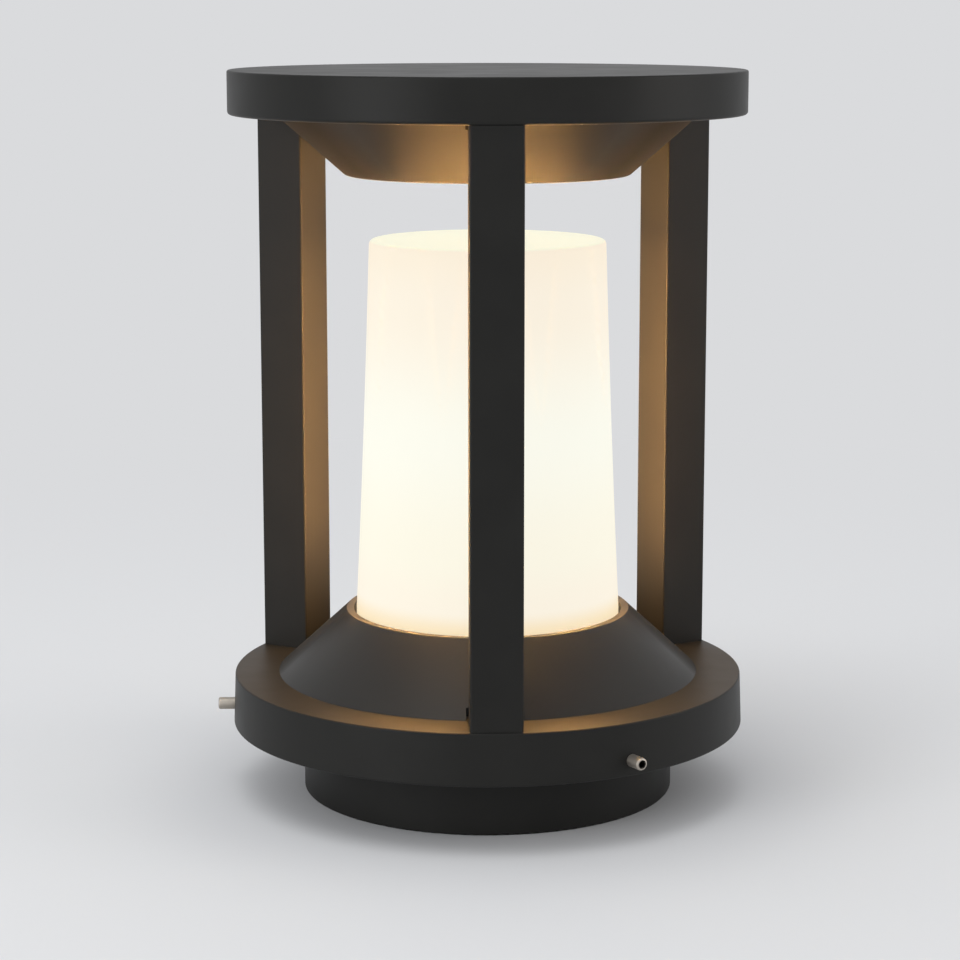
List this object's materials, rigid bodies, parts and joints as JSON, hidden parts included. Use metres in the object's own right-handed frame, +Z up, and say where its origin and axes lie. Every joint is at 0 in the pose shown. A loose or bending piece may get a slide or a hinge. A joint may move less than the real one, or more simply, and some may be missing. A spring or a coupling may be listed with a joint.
{
  "type": "post top light",
  "caption": "Round lantern head for a post or pillar: disc cap and ring joined by square posts, two cones, a lit opal tapered diffuser, a collar base and set screws.",
  "frame": {"origin": "centre of the mounting base's underside, on the lantern's axis", "axes": "+Z up along the lantern's axis; -Y towards the front post; the set screws are at -60, 60 and 180 degrees"},
  "size_m": [0.219, 0.2124, 0.2975],
  "materials": {
    "powder_coat": "matt dark grey powder coat on cast and extruded aluminium",
    "opal_acrylic": "satin opal acrylic, lit from inside",
    "stainless_steel": "bare stainless steel",
    "zinc_plated_steel": "bright zinc plate",
    "brass": "bare brass",
    "tinned_copper": "tinned",
    "nickel_plate": "nickel plated brass",
    "porcelain": "white glaze",
    "black_insulator": "black glass",
    "lamp_plastic": "satin white",
    "lamp_opal": "opal white",
    "board_white": "white solder mask",
    "terminal_plastic": "natural polyamide",
    "seal_rubber": "matt black",
    "live_insulation": "brown",
    "neutral_insulation": "blue",
    "earth_insulation": "green with yellow"
  },
  "bodies": {
    "base": {"mounting_base": "powder_coat", "base_gasket": "seal_rubber", "cable_grommet": "seal_rubber", "lampholder_bracket": "zinc_plated_steel", "bracket_screws": "zinc_plated_steel", "lampholder_body": "porcelain", "lampholder_shell": "brass", "lampholder_contact": "brass", "lampholder_screws": "zinc_plated_steel", "terminal_block": "terminal_plastic", "terminal_screws": "zinc_plated_steel", "terminal_fixing_screws": "zinc_plated_steel", "earth_lug": "tinned_copper", "earth_screw": "zinc_plated_steel", "live_lead": "live_insulation", "neutral_lead": "neutral_insulation", "earth_lead": "earth_insulation"},
    "lamp_tip": {"lamp_contact": "tinned_copper", "lamp_insulator": "black_insulator"},
    "lamp": {"lamp_cap": "nickel_plate", "lamp_housing": "lamp_plastic", "lamp_light_board": "board_white", "lamp_globe": "lamp_opal"},
    "head": {"base_ring": "powder_coat", "lower_cone": "powder_coat", "lower_cone_screws": "stainless_steel", "front_post": "powder_coat", "right_post": "powder_coat", "left_post": "powder_coat", "post_foot_screws": "stainless_steel", "post_head_screws": "stainless_steel", "cap_carrier": "powder_coat", "top_cap": "powder_coat", "cap_screws": "stainless_steel", "upper_cone": "powder_coat", "upper_cone_screws": "stainless_steel", "diffuser": "opal_acrylic", "diffuser_gasket": "seal_rubber", "diffuser_clamp": "zinc_plated_steel", "clamp_screws": "stainless_steel"},
    "front_set_screw": {"front_set_screw": "stainless_steel"},
    "rear_set_screw": {"rear_set_screw": "stainless_steel"},
    "left_set_screw": {"left_set_screw": "stainless_steel"}
  },
  "joints": [
    {"name": "head_lift", "type": "slide", "parent": "base", "child": "head", "axis": [0, 0, 1], "range_m": [0, 0.16]},
    {"name": "lamp_rise", "type": "slide", "parent": "base", "child": "lamp_tip", "axis": [0, 0, 1], "range_m": [0, 0.0128]},
    {"name": "lamp_turn", "type": "hinge", "parent": "lamp_tip", "child": "lamp", "pos_m": [0, 0, 0.08], "axis": [0, 0, 1], "range_deg": [0, 1260]},
    {"name": "front_set_screw_drive", "type": "slide", "parent": "head", "child": "front_set_screw", "axis": [-0.5, 0.866, 0], "range_m": [-0.006, 0.0033]},
    {"name": "rear_set_screw_drive", "type": "slide", "parent": "head", "child": "rear_set_screw", "axis": [-0.5, -0.866, 0], "range_m": [-0.006, 0.0033]},
    {"name": "left_set_screw_drive", "type": "slide", "parent": "head", "child": "left_set_screw", "axis": [1, 0, 0], "range_m": [-0.006, 0.0033]}
  ],
  "couplings": [
    {"joint": "lamp_rise", "follows": "lamp_turn", "m_per_rad": 0.00057757}
  ]
}
